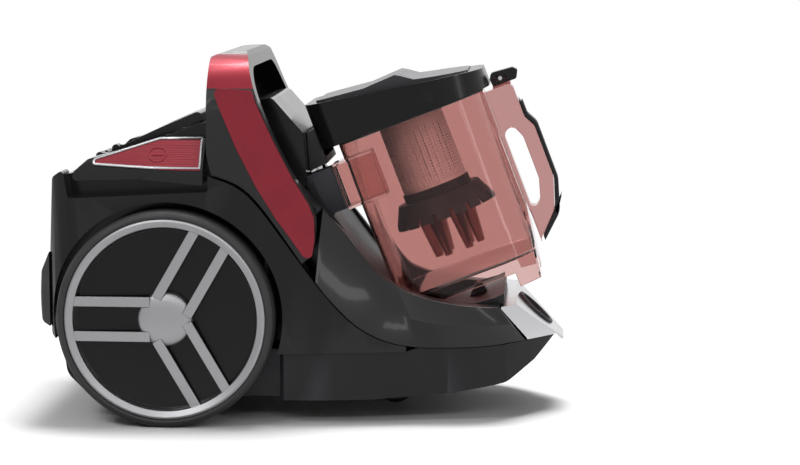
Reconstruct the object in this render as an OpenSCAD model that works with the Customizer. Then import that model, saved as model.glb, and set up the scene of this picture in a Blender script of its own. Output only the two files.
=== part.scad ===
// Canister vacuum cleaner with a lift-out dust bin.
// X runs forward to the nose, Y to the left, Z up from the floor. The origin is on the floor under the middle.

/* [Wheels] */
// Outer radius of the rear wheels
wheel_r = 104.5; // [95:0.5:112]
// Width of a rear wheel's tyre
wheel_w = 34; // [26:1:40]
// Radius of the rear wheels' stub axles
axle_r = 7; // [5:0.5:9]
// Radius of the front caster wheel
caster_r = 20; // [16:1:21]
// Width of the caster wheel
caster_w = 18; // [12:1:22]

/* [Body] */
// Half of the width over the wheels' outer faces
half_w = 150; // [145:1:160]
// Half of the width of the motor deck between the wheels
deck_w = 104; // [98:1:105]
// Height of the floor pan's underside
pan_z = 24; // [22:1:28]
// Height of the joint between floor pan and upper shells
split_z = 70; // [64:1:74]
// Wall thickness of the moulded shells
wall = 3; // [2:0.5:4]
// Half of the width of the bin's cradle, inside
cradle_w = 78; // [76:1:80]

/* [Carry handle] */
// Height of the top of the carry handle
handle_top = 357; // [345:1:380]
// Half of the width over the carry handle's legs
handle_w = 132; // [128:1:140]
// Thickness of the carry handle's loop
handle_t = 15; // [12:1:18]
// Thickness of the coloured strip on the carry handle
strip_t = 2.5; // [1.5:0.5:4]

/* [Hose inlet] */
// Radius of the bore that takes the hose's end
hose_r = 18; // [16:0.5:19]
// Depth of that bore
hose_l = 22; // [18:1:24]
// Slope of the nose's front face
nose_slope = 43; // [40:1:48]

/* [Dust bin] */
// Backward lean of the docked bin
tilt = 21; // [18:1:24]
// Depth of the jar, front to back
jar_d = 150; // [140:1:155]
// Half of the jar's width
jar_w = 72; // [66:1:74]
// Height of the jar from its foot to its rim
jar_h = 190; // [180:1:200]
// Wall thickness of the jar
jar_t = 2.5; // [2:0.5:3.5]
// Half of the lid's width
lid_w = 75; // [72:1:76]
// Length of the lid
lid_l = 174; // [168:1:180]
// Height of the lid's rear face
lid_h = 47; // [42:1:52]
// Radius of the perforated tube
mesh_r = 33; // [28:1:36]
// Number of cyclone cones
cones = 6; // [4:1:7]

/* [Pedals] */
// Stroke of a pedal, degrees
pedal_stroke = 4; // [3:0.5:5]

/* [Hidden] */
$fn = 48;

gap = 0.3;                  // clearance between pieces that don't turn on each other
run = 0.05;                 // radial running clearance of a shaft
wheel_x = -129.5;           // wheel axle, along the body
wheel_in = half_w - wheel_w;                 // inner face of the wheel
arch_r = wheel_r + 7;       // wheel arch
arch_out = half_w - 12;     // outer face of the wheel-arch covers
caster_x = 92;              // swivel axis of the caster
caster_trail = 10;
caster_well_r = 34;
caster_roof = 50;           // roof of the caster's well
dock_x = 82;                // where the docked bin's frame stands
dock_z = 80;
jar_back = 16.5;            // jar's rear wall behind the lid's rear face
jar_front = jar_back + jar_d;
foot_h = 26;                // skirt under the jar's floor
lid_top = jar_h + 2 + lid_h;
lid_slope = 28.5;           // fall of the lid's side edge to the front
mesh_x = 88;                // axis of the separator
duct_r = 17;
nose_n = 90 - nose_slope;   // elevation of the hose's axis
nose_x = 222;               // middle of the nose's front face
handle_x = -90;             // rear edge of the carry handle's legs
motor_y = -38;
motor_z = 150;
motor_r = 48;
reel_y = 36;
reel_w = 56;
reel_r = 74;
reel_x = -132;
reel_z = 150;
pedal_hinge = [-100, 242];  // pedal's hinge, along and up
pedal_in = deck_w + 0.6;    // inner side of a pedal
pedal_out = half_w - 12.5;

// ---- outline helpers ----

// Polygon with its corners rounded. Each corner is [x, y, radius].
function fillet(c, n = 6) = [for (i = [0:len(c) - 1])
    let (k = len(c), p = [c[i][0], c[i][1]], r = c[i][2],
        a = [c[(i + k - 1) % k][0], c[(i + k - 1) % k][1]] - p,
        b = [c[(i + 1) % k][0], c[(i + 1) % k][1]] - p,
        da = a / norm(a), db = b / norm(b), h = acos(da * db) / 2,
        m = (da + db) / max(norm(da + db), 0.001), o = p + m * r / sin(h),
        s = p + da * r / tan(h) - o, turn = (da[0] * db[1] - da[1] * db[0] > 0 ? -1 : 1) * (180 - 2 * h))
    each (r == 0 ? [p] : [for (j = [0:n]) let (t = turn * j / n)
        o + [s[0] * cos(t) - s[1] * sin(t), s[0] * sin(t) + s[1] * cos(t)]])];

// Smooth curve through the points p, with n steps between each pair.
function smooth(p, n = 4) = [for (i = [0:len(p) - 2]) for (j = [0:n - 1])
    let (a = p[max(i - 1, 0)], b = p[i], c = p[i + 1], d = p[min(i + 2, len(p) - 1)], t = j / n)
    0.5 * (2 * b + (c - a) * t + (2 * a - 5 * b + 4 * c - d) * t * t + (3 * b - a - 3 * c + d) * t * t * t),
    p[len(p) - 1]];

function back(p) = [for (i = [len(p) - 1:-1:0]) p[i]];
function moved(p, d) = [for (q = p) q + d];
function mirrored(p) = concat(p, [for (q = back(p)) [q[0], -q[1]]]);
function bin_point(x, z) = [dock_x + x * cos(tilt) - z * sin(tilt), dock_z + x * sin(tilt) + z * cos(tilt)];

// Extrusions of an outline drawn in XZ, XY or YZ.
module side(y0, y1) translate([0, y1, 0]) rotate([90, 0, 0]) linear_extrude(y1 - y0) children();
module both(y0, y1) { side(y0, y1) children(); side(-y1, -y0) children(); }
module plan(z0, z1) translate([0, 0, z0]) linear_extrude(z1 - z0) children();
module front(x0, x1) translate([x0, 0, 0]) rotate([90, 0, 90]) linear_extrude(x1 - x0) children();
module along_y(y0, y1, r) translate([0, y0, 0]) rotate([-90, 0, 0]) cylinder(r = r, h = y1 - y0);
module along_x(x0, x1, r) translate([x0, 0, 0]) rotate([0, 90, 0]) cylinder(r = r, h = x1 - x0);
module in_bin() translate([dock_x, 0, dock_z]) rotate([0, -tilt, 0]) children();
module other_side() mirror([0, 1, 0]) children();

// Closed solid through rings of equal size, each a list of 3-D points.
module loft(rings) {
    n = len(rings[0]);
    k = len(rings);
    polyhedron(points = [for (r = rings) each r],
        faces = concat([[for (i = [0:n - 1]) i]],
            [for (j = [0:k - 2]) for (i = [0:n - 1])
                each [[j * n + i, (j + 1) * n + i, j * n + (i + 1) % n],
                    [j * n + (i + 1) % n, (j + 1) * n + i, (j + 1) * n + (i + 1) % n]]],
            [[for (i = [n - 1:-1:0]) (k - 1) * n + i]]));
}

// ---- shared outlines ----

// The line where the dark side panel meets the black shells: [x, y, z], y outward.
seam = smooth([[-86, 128, 241], [-62, 130, 232], [-44, 131, 217], [-24, 131, 191], [0, 130, 157], [27, 127, 121],
    [52, 123, 96], [80, 119, 81], [110, 115, 75], [142, 110, 74], [178, 103, 75], [213, 78, 77]], 3);
// The panel's lower and upper edges, from the handle's leg to the nose.
panel_low = smooth([[13, 128.6, 139], [27, 127, 121], [52, 123, 96], [80, 119, 81], [110, 115, 75], [142, 110, 74],
    [178, 103, 75], [213, 78, 77]], 3);
panel_top = smooth([[17, 90, 205], [36, 89, 185], [54, 89, 162], [72, 90, 142], [98, 93, 126], [130, 98, 117],
    [160, 101, 113], [188, 101, 112]], 3);
seam_side = [for (p = seam) [p[0], p[2]]];
// Floor and back of the cradle's trough, from the filter box down to the nose.
trough = concat(smooth([[5, 228], [12, 211], [29, 190], [48, 164], [62, 147], bin_point(jar_back - 1.5, 55)], 3),
    [bin_point(jar_back - 1.5, -gap), bin_point(118, -gap)]);
shoulder = smooth([[-61, 264], [-46, 258], [-27, 248], [-10, 234], [4, 219], [15.5, 206]], 3);
trough_end = trough[len(trough) - 1];
trough_rim = concat(smooth([[6.5, 231], [14, 213], [31, 192], [48, 169], [62, 151], [83, 134], [106, 122], [134, 116],
    [164, 113]], 3), [[184, trough_end[1] - 3], trough_end + [0, 1]]);
trough_under = concat(moved([for (i = [0:len(trough) - 2]) trough[i]], [-2.2, -2.2]), [[189, 110.5], [189.2, 113.4],
    [trough_end[0], 113.4]]);
pan_half = smooth([[-18, 126], [30, 124], [80, 116], [140, 107], [184, 98], [212, 74], [236, 46], [246, 26]], 3);
pan_side = concat(fillet([[98, split_z, 0], [-236, split_z, 0], [-232, 44, 18], [-212, pan_z, 14], [60, pan_z, 40],
    [140, 29, 40], [196, 38, 20], [222, 56, 20], [241, 76.4, 0], [213, 76, 0]]),
    [for (p = back(seam_side)) if (p[0] > 104 && p[0] < 200) p - [0, 1]]);
deck_top = [[-239, 236, 10], [-206, 246, 20], [-106, 287, 40], [-64, 297, 6]];
deck_front = -38;           // front of the deck's wide part
rear_x = -245;              // rear face of the shells
filter_w = 80;              // half width of the filter box
filter_x = -64;             // rear of the filter box
nose_top = [204, 113];
nose_z = nose_top[1] - (nose_x - nose_top[0]) * tan(nose_slope);
nose_tip = [251, nose_top[1] - 47 * tan(nose_slope)];

// ---- base shells ----

module pan_outline() polygon(concat([[-240, deck_w - 0.3], [-24, deck_w - 0.3]], pan_half,
    back([for (q = pan_half) [q[0], -q[1]]]), [[-24, 0.3 - deck_w], [-240, 0.3 - deck_w]]));

screw_spots = [for (x = [-190, -60, 0], y = [-60, 60]) [x, y]];

module floor_pan() color([0.07, 0.07, 0.08]) difference() {
    union() {
        difference() {
            intersection() {
                side(-130, 130) polygon(pan_side);
                plan(0, 90) pan_outline();
            }
            intersection() {
                side(-130, 130) polygon(fillet([[-236 + wall, 90, 0], [-232 + wall, 46, 16], [-212 + wall, pan_z + wall, 12],
                    [60, pan_z + wall, 0], [140, 29 + wall, 0], [194, 38 + wall, 0], [219, 56 + wall, 0], [240, 90, 0]]));
                plan(0, 90) offset(delta = -wall) pan_outline();
            }
        }
        translate([caster_x, 0, pan_z + 1]) cylinder(r = caster_well_r + wall, h = caster_roof + wall - pan_z - 1);
        translate([caster_x, 0, caster_roof]) cylinder(r = 10, h = 16);
        for (s = screw_spots) translate([s[0], s[1], pan_z + 1]) cylinder(r = 6.5, h = 37);
    }
    translate([caster_x, 0, 0]) cylinder(r = caster_well_r, h = caster_roof);
    translate([nose_x, 0, nose_z]) rotate([0, 90 - nose_n, 0]) translate([0, 0, -hose_l]) cylinder(r = hose_r + 4 + gap, h = 60);
    translate([caster_x, 0, caster_roof - 1]) cylinder(r = 5 + run, h = 12);
    for (s = screw_spots) translate([s[0], s[1], 0]) {
        cylinder(r = 2, h = pan_z + 40);
        cylinder(r = 4.2, h = pan_z + 14);
    }
}

module pan_screws() color([0.6, 0.6, 0.62]) for (s = screw_spots) translate([s[0], s[1], pan_z + 11]) {
    cylinder(r = 3.8, h = 3);
    cylinder(r = 1.8, h = 24);
}

// Motor deck: the closed housing between the wheels, narrower under the cradle.
module deck_rear_outline() polygon(fillet(concat([[rear_x + 9, split_z + gap, 0], [rear_x, 150, 30]], deck_top,
    [[filter_x, 226, 0], [deck_front, 226, 0], [deck_front, split_z + gap, 0]])));
module deck_front_outline() polygon(concat([[deck_front - 1, split_z + gap], [deck_front - 1, 226], [0, 226]],
    [for (i = [1:14]) trough[i] - [5.5, 2]], [[66, 100], [62, split_z + gap]]));
module duct_way(room) in_bin() translate([-48 - room, -72 - room, 129 - room]) cube([60, 42 + 2 * room, 47 + 2 * room]);
module motor_deck() color([0.05, 0.05, 0.06]) difference() {
    union() {
        difference() {
            side(-deck_w, deck_w) deck_rear_outline();
            side(wall - deck_w, deck_w - wall) offset(delta = -wall) deck_rear_outline();
        }
        difference() {
            side(-76, 76) deck_front_outline();
            side(wall - 76, 76 - wall) offset(delta = -wall) deck_front_outline();
        }
        for (s = [-1, 1]) translate([pedal_hinge[0], s * (deck_w + 13), pedal_hinge[1]]) along_y(-14, 14, 3);
        // knuckles of the exhaust cover
        for (s = [-1, 1]) translate([cover_hinge[0], s * 40, cover_hinge[1]]) along_y(-4, 4, 4);
        for (s = [-1, 1]) translate([cover_hinge[0] - 4, s * 40 - 4, cover_hinge[1] - 8]) cube([8, 8, 8]);
    }
    // open underneath
    translate([-226, 10 - deck_w, split_z - 20]) cube([180, 2 * deck_w - 20, 30]);
    translate([-46, -70, split_z - 20]) cube([104, 140, 30]);
    translate([-4, -74, split_z - 20]) cube([90, 39, 62]);
    // opening under the exhaust filter's cover
    translate([-192, -62, 180]) cube([76, 124, 130]);
    translate([cover_hinge[0], 0, cover_hinge[1]]) along_y(-60, 60, 2 + run);
    // seat of the cord outlet
    translate([rear_x - 5, gland_y, gland_z]) rotate([0, 90, 0]) cylinder(r = 12 + gap, h = 20);
    // air way from the filter box to the fan
    translate([-50, motor_y, motor_z]) rotate([0, 90, 0]) cylinder(r = 22, h = 20);
    translate([-36, -66, 200]) cube([30, 132, 40]);
    duct_way(gap);
}
cover_hinge = [-207, 252];
gland_y = 64;
gland_z = 192;

module arch_outline() polygon(concat(fillet([[60, split_z + gap, 0], [-225, split_z + gap, 0], [-243.5, 86, 6],
    [rear_x, 150, 30], [-240, 238, 6], [-228, 246, 3], [-223, 219, 3], [-88, 226, 2], [-88, 241, 0]]),
    [for (p = seam_side) if (p[0] < 104) p - [0.7, 0.7]], [[99, split_z + gap]]));
arch_curve = smooth([[rear_x, 116], [-232, 131], [-200, arch_out], [-120, arch_out], [-60, arch_out], [-20, 134],
    [30, 126], [80, 118], [140, 109], [182, 98], [212, 74]], 3);
module arch_half(room) polygon(concat([[rear_x - 2, deck_w + gap - 3 * room]], moved(arch_curve, [0, -room]),
    [[212, 68 - 3 * room], [160, 84 - 3 * room], [60, deck_w + gap - 3 * room]]));
module arch_cover() color([0.06, 0.06, 0.07]) difference() {
    intersection() {
        side(60, arch_out) arch_outline();
        plan(0, 300) arch_half(0);
    }
    translate([wheel_x, 0, wheel_r]) along_y(0, 200, arch_r);
    difference() {
        intersection() {
            side(20, arch_out) offset(delta = -wall) arch_outline();
            plan(0, 300) arch_half(wall);
        }
        translate([wheel_x, 0, wheel_r]) along_y(0, 200, arch_r + wall);
    }
}
module arch_cover_left() arch_cover();
module arch_cover_right() other_side() arch_cover();

// Side panel: a curved skin between rim and seam.
module side_panel() color([0.24, 0.24, 0.26]) loft([for (i = [0:len(panel_top) - 1])
    let (a = panel_top[i], b = panel_low[i], m = a + (b - a) * 0.46 + [0, 8, 0], t = [0, wall, 0])
    [a - t, m - t, b - t, b, m, a]]);
module side_panel_left() side_panel();
module side_panel_right() other_side() side_panel();

// Nose: bright cap with a bow-shaped plan and a sloped front face.
nose_half = [[189.5, 96], [213.5, 75], [226, 60], [248, 30], [251, 24]];
module nose_outline() polygon([[190, 112], nose_top, nose_tip + [0, 2], nose_tip - [1.5, 0], [243, 76.8], [215, 76.8], [214, 79], [189.5, 110]]);
module nose_cap() color([0.8, 0.8, 0.82]) difference() {
    intersection() {
        side(-100, 100) nose_outline();
        plan(0, 140) polygon(mirrored(nose_half));
    }
    translate([nose_x, 0, nose_z]) rotate([0, 90 - nose_n, 0]) translate([0, 0, -60]) cylinder(r = hose_r + 4 + gap, h = 90);
    translate([170, -70, 40]) cube([36, 140, 63]);
    in_bin() translate([0, -cradle_w - 1, -8]) cube([jar_front + 20, 2 * cradle_w + 2, 30]);
}
module hose_socket() color([0.05, 0.05, 0.06]) translate([nose_x, 0, nose_z]) rotate([0, 90 - nose_n, 0]) difference() {
    translate([0, 0, 3 - hose_l]) cylinder(r = hose_r + 4, h = hose_l);
    translate([0, 0, -60]) cylinder(r = hose_r, h = 90);
}

// ---- carry handle ----

leg_back = [for (i = [0:12]) seam_side[i] + [0.6, 0.6]];
module leg_outline() polygon(concat(leg_back, smooth([leg_back[12], [10, 166], [13, 181], [13.5, 199], [9, 214], [-7, 240],
    [-25, 275], [-43, 317], [-51.5, 343], [-54, handle_top - 4]], 3), smooth([[-58, handle_top], [-75, handle_top - 1],
    [-88, handle_top - 4], [handle_x, handle_top - 12], [handle_x, 290], [handle_x, 262], [-86, 244]], 2)));
module arch_loop(r, w, top) polygon(fillet([[-w, 120, 0], [-w, top, r], [w, top, r], [w, 120, 0]], 10));
module carry_handle() color([0.05, 0.05, 0.06]) difference() {
    intersection() {
        side(-handle_w, handle_w) leg_outline();
        front(-100, 20) difference() {
            arch_loop(62, handle_w, handle_top);
            arch_loop(50, handle_w - handle_t, handle_top - handle_t);
        }
    }
    both(handle_w - strip_t - gap, handle_w + 1) offset(delta = gap) strip_outline();
}
module strip_outline() polygon(fillet([[-82, 318, 0], [-76, 302, 60], [-61, 266, 60], [-42, 229, 60], [-24, 200, 50],
    [-9, 180, 20], [2, 164, 4], [10, 162, 4], [13, 181, 10], [12.5, 201, 10], [7.5, 214, 20], [-8.5, 240, 60],
    [-26.5, 275, 60], [-43, 311, 0], [-46, 322, 4], [-80, 324, 4]], 3));
module handle_strip() color([0.45, 0.07, 0.1]) both(handle_w - strip_t, handle_w + 0.8) strip_outline();

// ---- filter box, exhaust, motor, reel ----

box_side = fillet([[filter_x + gap, 226 + gap, 0], [1, 226 + gap, 2], [-3, 278, 5], [-33, 312, 6], [-45, 310, 8],
    [filter_x + gap, 303, 4]]);
module filter_box() color([0.07, 0.07, 0.08]) difference() {
    side(-filter_w, filter_w) polygon(box_side);
    side(2.5 - filter_w, filter_w - 2.5) offset(delta = -2.5) polygon(box_side);
    // air inlet from the bin, air outlet to the fan, and room for the inlet duct
    translate([-10, -44, 236]) cube([20, 88, 34]);
    translate([-36, -24, 220]) cube([28, 88, 12]);
    duct_way(gap);
}
module motor_filter() color([0.85, 0.85, 0.82]) translate([-50, -60, 250]) {
    cube([36, 120, 4]);
    for (i = [0:13]) translate([0, 1 + i * 8.8, 3]) cube([36, 3, 18]);
    for (s = [0, 1]) translate([16, s * 137.2 - 17.2, 0]) cube([4, 17.2, 4]);
}
module filter_seal() color([0.1, 0.1, 0.1]) difference() {
    side(-50, 50) polygon([[0.5, 238], bin_point(-0.4, 178), bin_point(-0.4, 214), [-2.4, 276]]);
    side(-44, 44) polygon([[-6, 243.5], bin_point(3, 184), bin_point(3, 208), [-6, 270.5]]);
}

cover_half = 68;
cover_side = fillet([[-203, 248, 0], [-201, 254, 2], [-190, 260, 6], [-150, 279, 60], [-104, 299, 5], [-102, 289.4, 0],
    [-106, 287.6, 0]]);
module top_cover() color([0.07, 0.07, 0.08]) {
    difference() {
        side(-cover_half, cover_half) polygon(cover_side);
        // slots over the filter
        for (i = [0:7]) translate([-182 + i * 8, -50, 240]) cube([3.5, 100, 60]);
    }
    for (s = [-1, 1]) translate([cover_hinge[0], s * 48, cover_hinge[1]]) {
        along_y(-3.6, 3.6, 4);
        translate([0, -3.6, -3]) cube([8, 7.2, 6]);
        along_y(-12 - 3.6 * s, 12 - 3.6 * s, 2);
    }
}
module exhaust_filter() color([0.9, 0.9, 0.88]) difference() {
    side(-58, 58) polygon([[-186, 254.6], [-122, 280.7], [-122, 270.7], [-186, 244.6]]);
    for (i = [0:6]) translate([-182 + i * 9, -54, 250 + i * 3.67]) cube([4, 108, 30]);
}

module shell_x(x0, x1, r, t) difference() {
    along_x(x0, x1, r);
    along_x(x0 + t, x1 - t, r - t);
}
module at_motor() translate([0, motor_y, motor_z]) children();
fan_x = deck_front - wall - gap;
module motor_can() color([0.6, 0.6, 0.62]) at_motor() difference() {
    shell_x(-186, -96.3, motor_r - 8, 3);
    along_x(-190, -90, 4 + run);
    for (a = [0:60:300]) rotate([a, 0, 0]) translate([-176, -6, 0]) cube([26, 12, 60]);
}
module fan_housing() color([0.15, 0.15, 0.16]) at_motor() difference() {
    shell_x(-96, fan_x, motor_r, 3);
    along_x(-100, -90, 4 + run);
    along_x(fan_x - 10, fan_x + 5, 20);
    for (a = [15:30:345]) rotate([a, 0, 0]) translate([-94, -5, 30]) cube([6, 10, 10]);
    for (a = [15:30:345]) rotate([a, 0, 0]) translate([-98, -5, 41.5]) cube([10, 10, 2.5]);
}
module motor_mounts() color([0.1, 0.1, 0.1]) difference() {
    for (x = [-146, -82]) translate([x, motor_y - 22, pan_z + wall + gap]) cube([12, 44, motor_z - pan_z - 30]);
    at_motor() along_x(-160, -100, motor_r - 8 + gap);
    at_motor() along_x(-97, -60, motor_r + gap);
}
module motor_shaft() color([0.7, 0.7, 0.72]) at_motor() {
    along_x(-184, -56, 4);
    along_x(-160, -106, 24);
}
module fan_wheel() color([0.75, 0.75, 0.78]) at_motor() difference() {
    union() {
        along_x(-84, -82, 42);
        along_x(-84, -58, 9);
        for (a = [0:30:330]) rotate([a, 0, 0]) translate([-83, 8, -1]) cube([24, 33, 2]);
    }
    along_x(-90, -50, 4.02);
}

module at_reel() translate([reel_x, 0, reel_z]) children();
module reel_frame() color([0.12, 0.12, 0.13]) at_reel() {
    along_y(deck_w - wall - 3 - gap, deck_w - wall - gap, 60);
    along_y(reel_y - 2, deck_w - wall - 1, 8);
}
module reel_drum() color([0.2, 0.2, 0.22]) at_reel() rotate([-90, 0, 0]) difference() {
    rotate_extrude() polygon([[8 + run, reel_y], [reel_r, reel_y], [reel_r, reel_y + 2], [34, reel_y + 2],
        [34, reel_y + reel_w - 2], [reel_r, reel_y + reel_w - 2], [reel_r, reel_y + reel_w], [30, reel_y + reel_w],
        [30, reel_y + 20], [8 + run, reel_y + 20]]);
    for (a = [0:60:300]) rotate([0, 0, a]) translate([54, 0, reel_y - 5]) cylinder(r = 9, h = reel_w + 10);
}
spiral = [for (i = [0:60]) let (a = i * 24, r = 12 + i * 0.292) [r * cos(a), r * sin(a)]];
module reel_spring() color([0.5, 0.5, 0.55]) at_reel() rotate([-90, 0, 0]) translate([0, 0, reel_y + 22])
    linear_extrude(24) polygon(concat(spiral, back([for (p = spiral) p * (1 - 1 / norm(p))])));
module cord_outlet() color([0.1, 0.1, 0.1]) translate([rear_x, gland_y, gland_z]) rotate([0, 90, 0]) difference() {
    union() {
        translate([0, 0, -2.6]) cylinder(r = 15, h = 2);
        translate([0, 0, -2]) cylinder(r = 12, h = 14);
    }
    translate([0, 0, -10]) cylinder(r = 4.5, h = 40);
}

// ---- air duct, cradle, small base parts ----

// A box-section duct: plenum under the hose socket, run beside the caster, rise behind the cradle, spigot.
duct_side = [[152, 44], [60, 36], [34, 46], [0, 96], [-16, 150], [-14.5, 203], [10, 212], [14, 197], [19, 150], [36, 112],
    [60, 74], [78, 66], [152, 66]];
duct_y = [-70, -39];
module plenum(t) plan(44 + t, 66 - t) polygon([[146, -70 + t], [196 - t, -24 + t], [196 - t, 22 - t], [178, 22 - t],
    [146, -39 - t]]);
module throat(r, l) translate([nose_x, 0, nose_z]) rotate([0, 90 - nose_n, 0]) translate([0, 0, 2.4 - hose_l - l])
    cylinder(r = r, h = l);
module inlet_duct() color([0.2, 0.2, 0.22]) difference() {
    union() {
        side(duct_y[0], duct_y[1]) polygon(duct_side);
        plenum(0);
        throat(duct_r + 2, 26);
        in_bin() translate([-46, -70, 131]) cube([49, 38, 43]);
    }
    side(duct_y[0] + 2, duct_y[1] - 2) offset(delta = -2) polygon(duct_side);
    plenum(2);
    translate([140, duct_y[0] + 2, 46]) cube([12, duct_y[1] - duct_y[0] - 4, 18]);
    throat(duct_r, 24);
    in_bin() translate([-44, -68, 133]) cube([60, 34, 39]);
}
module duct_seal() color([0.1, 0.1, 0.1]) in_bin() difference() {
    translate([3 + gap, -70, 131]) cube([1.8, 38, 43]);
    translate([0, -68, 133]) cube([10, 34, 39]);
}

module cradle() color([0.09, 0.09, 0.1]) difference() {
    union() {
        side(-cradle_w - 3, cradle_w + 3) polygon(concat(trough, back(trough_under)));
        both(cradle_w, cradle_w + 3) polygon(concat(trough_rim, back(trough_under)));
        for (s = [0, 1]) mirror([0, s, 0]) loft([for (p = panel_top)
            [[p[0], filter_w + gap, p[2] - 3], [p[0], p[1] - wall - gap, p[2] - 3], [p[0], p[1] - wall - gap, p[2]],
                [p[0], filter_w + gap, p[2]]]]);
        both(filter_w + gap, handle_w - handle_t - 2 * gap) polygon(concat(shoulder, back(moved(shoulder, [-2, -3]))));
    }
    duct_way(2 * gap);
}
module bin_catch() color([0.3, 0.3, 0.32]) in_bin() side(-9, 9)
    polygon(fillet([[80, 0, 0], [98, 0, 0], [97, 9, 2], [91, 11, 2], [84, 4, 2]], 3));
module rear_bumper() color([0.12, 0.12, 0.12]) intersection() {
    side(-125, 125) polygon(fillet([[rear_x - gap, 93, 0], [-254, 97, 6], [-256, 120, 30], [-254, 146, 8],
        [rear_x - gap, 165, 0]]));
    plan(80, 180) polygon(fillet([[rear_x - gap, -119, 0], [-256, -112, 9], [-256, 112, 9], [rear_x - gap, 119, 0]]));
}
module stub_axle() color([0.6, 0.6, 0.62]) translate([wheel_x, 0, wheel_r]) {
    along_y(deck_w + gap, deck_w + 4, 18);
    along_y(deck_w + gap, wheel_in + 22, axle_r);
    along_y(wheel_in + 22, wheel_in + 24, axle_r - 2);
}
module axle_left() stub_axle();
module axle_right() other_side() stub_axle();
module control_board() color([0.05, 0.25, 0.12]) translate([-40, -45, pan_z + wall + gap]) {
    cube([56, 90, 1.6]);
    translate([8, 8, 1.5]) cube([22, 16, 18]);
    translate([34, 50, 1.5]) cube([14, 26, 12]);
    for (i = [0:2]) translate([12, 44 + i * 14, 1.5]) cylinder(r = 5, h = 14);
}

// ---- rear wheels ----

ring_out = 96.4;            // outer radius of the bright ring
disc_y = wheel_in + 21;
module about_wheel() translate([wheel_x, 0, wheel_r]) rotate([-90, 0, 0]) children();
module wheel_tyre() color([0.04, 0.04, 0.04]) about_wheel() rotate_extrude($fn = 96)
    polygon([[ring_out + gap, wheel_in], [wheel_r - 5, wheel_in], [wheel_r - 1.5, wheel_in + 2], [wheel_r, wheel_in + 6],
        [wheel_r, half_w - 7], [wheel_r - 1, half_w - 3], [wheel_r - 3.5, half_w - 0.6], [wheel_r - 6, half_w],
        [ring_out + gap, half_w - 1]]);
module wheel_disc() color([0.05, 0.05, 0.06]) about_wheel() rotate_extrude($fn = 96)
    polygon([[axle_r + run, wheel_in - 6], [14, wheel_in - 6], [16, disc_y - 3], [90, disc_y], [92, wheel_in + 1],
        [ring_out, wheel_in + 1], [ring_out, half_w - 6], [88, half_w - 8], [86, disc_y + 3], [28, disc_y + 1],
        [axle_r + run, disc_y]]);
module spoke_bars(extra) for (a = [60, 180, 300]) rotate([0, 0, a]) for (s = [-1, 1])
    translate([14, s * 16.75 - 4.75 - extra, disc_y]) cube([76, 9.5 + 2 * extra, 20]);
spoke_y = half_w - 7.7;
module wheel_spokes() color([0.78, 0.78, 0.8]) about_wheel() {
    rotate_extrude($fn = 96) polygon([[88, spoke_y], [ring_out, half_w - 5.7], [ring_out, half_w - 2], [94, half_w - 1],
        [88.5, half_w - 4]]);
    difference() {
        spoke_bars(0);
        translate([0, 0, disc_y - 1]) cylinder(r = 12, h = 30);
        rotate_extrude() polygon([[0, disc_y - 1], [0, spoke_y], [86, spoke_y], [100, spoke_y + 3.4], [100, disc_y - 1]]);
        rotate_extrude() polygon([[0, half_w - 2], [100, half_w - 5], [100, half_w + 30], [0, half_w + 30]]);
    }
}
module hub_cap() color([0.8, 0.8, 0.82]) about_wheel() difference() {
    rotate_extrude() polygon(concat([[0, disc_y + 2 + gap], [27, disc_y + 2 + gap]],
        [for (i = [0:6]) [26 * cos(i * 15), half_w - 7 + 6 * sin(i * 15)]]));
    spoke_bars(gap);
    translate([0, 0, disc_y]) cylinder(r = 12, h = 3.5);
}
module wheel_tyre_left() wheel_tyre();
module wheel_tyre_right() other_side() wheel_tyre();
module wheel_disc_left() wheel_disc();
module wheel_disc_right() other_side() wheel_disc();
module wheel_spokes_left() wheel_spokes();
module wheel_spokes_right() other_side() wheel_spokes();
module hub_cap_left() hub_cap();
module hub_cap_right() other_side() hub_cap();

// ---- caster ----

roll_x = caster_x - caster_trail;
module caster_fork() color([0.12, 0.12, 0.13]) difference() {
    union() {
        translate([caster_x, 0, caster_roof - 7]) cylinder(r = 20, h = 6.5);
        translate([caster_x, 0, caster_roof - 1]) cylinder(r = 5, h = 11);
        both(caster_w / 2 + gap, caster_w / 2 + 4) polygon([[caster_x - 18, caster_roof - 5], [roll_x - 7, caster_r],
            [roll_x - 4, caster_r - 6], [roll_x + 4, caster_r - 6], [roll_x + 7, caster_r], [caster_x + 14, caster_roof - 5]]);
    }
    translate([roll_x, 0, caster_r]) along_y(-20, 20, 2.5);
}
module caster_axle() color([0.7, 0.7, 0.72]) translate([roll_x, 0, caster_r]) along_y(-caster_w / 2 - 4, caster_w / 2 + 4, 2.5);
module caster_wheel() color([0.08, 0.08, 0.08]) translate([roll_x, 0, caster_r]) rotate([-90, 0, 0]) rotate_extrude()
    polygon([[2.5 + run, -caster_w / 2], [caster_r - 3, -caster_w / 2], [caster_r, 3 - caster_w / 2], [caster_r, caster_w / 2 - 3],
        [caster_r - 3, caster_w / 2], [2.5 + run, caster_w / 2]]);

// ---- pedals ----

pedal_side = fillet([[-218, 236, 4], [-217, 244, 5], [-204, 256, 6], [-120, 278, 30], [-93, 275, 3], [-93, 232, 2],
    [-155, 238, 60]]);
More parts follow.
